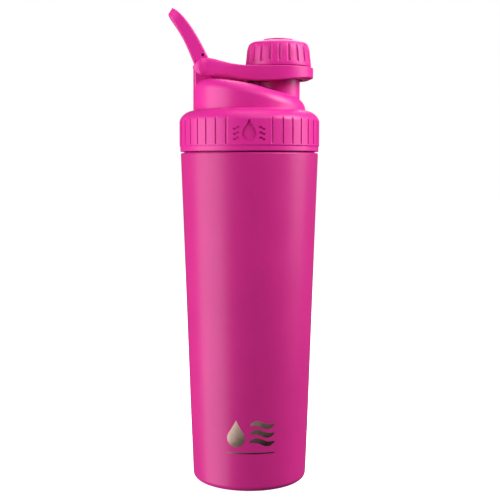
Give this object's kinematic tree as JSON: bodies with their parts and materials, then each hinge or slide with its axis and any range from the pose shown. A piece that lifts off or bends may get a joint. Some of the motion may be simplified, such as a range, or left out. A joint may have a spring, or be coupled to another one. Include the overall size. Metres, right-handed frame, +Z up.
{
  "type": "insulated shaker bottle",
  "caption": "Double-walled steel shaker bottle with a screw-on grip lid, offset spout, tethered flip cap and carry loop.",
  "frame": {"origin": "centre of the flat underside, on the bottle's axis", "axes": "+Z up along the bottle, +X towards the drinking spout, -X towards the hinge and the carry loop, -Y the front with the smooth panel and the mark"},
  "size_m": [0.0986, 0.0918, 0.3107],
  "materials": {
    "shell_paint": "magenta powder coat with a fine satin grain",
    "bare_steel": "bare stainless steel, fine brushed",
    "solder": "dull solder bead",
    "lid_plastic": "satin moulded magenta polypropylene",
    "grid_plastic": "satin moulded magenta polypropylene",
    "silicone": "translucent white silicone"
  },
  "bodies": {
    "bottle": {"outer_shell": "shell_paint", "base_plate": "bare_steel", "base_cover": "shell_paint", "vacuum_seal": "solder", "getter_capsule": "bare_steel", "inner_liner": "bare_steel"},
    "lid_seal": {"lid_gasket": "silicone"},
    "lid": {"lid_body": "lid_plastic", "mixing_grid": "grid_plastic", "hinge_pin": "bare_steel"},
    "strap": {"cap_strap": "lid_plastic"},
    "loop": {"carry_loop": "lid_plastic"},
    "cap_seal": {"cap_gasket": "silicone"},
    "cap": {"cap_core": "lid_plastic", "cap_grip": "lid_plastic", "cap_disc": "lid_plastic"}
  },
  "joints": [
    {"name": "lid_lift", "type": "slide", "parent": "bottle", "child": "lid_seal", "axis": [0, 0, 1], "range_m": [0, 0.0226]},
    {"name": "lid_turn", "type": "hinge", "parent": "lid_seal", "child": "lid", "pos_m": [0, 0, 0.23], "axis": [0, 0, 1], "range_deg": [0, 900]},
    {"name": "strap_flip", "type": "hinge", "parent": "lid", "child": "strap", "pos_m": [-0.0302, 0, 0.2712], "axis": [0, -1, 0], "range_deg": [0, 95]},
    {"name": "loop_swing", "type": "hinge", "parent": "strap", "child": "loop", "pos_m": [-0.0302, 0, 0.2712], "axis": [0, -1, 0], "range_deg": [-60, 0]},
    {"name": "cap_lift", "type": "slide", "parent": "strap", "child": "cap_seal", "axis": [0, 0, 1], "range_m": [0, 0.0036]},
    {"name": "cap_turn", "type": "hinge", "parent": "cap_seal", "child": "cap", "pos_m": [0.0189, 0, 0.28], "axis": [0, 0, 1], "range_deg": [0, 450]}
  ],
  "couplings": [
    {"joint": "lid_lift", "follows": "lid_turn", "m_per_rad": 0.0014324},
    {"joint": "cap_lift", "follows": "cap_turn", "m_per_rad": 0.00044563}
  ]
}
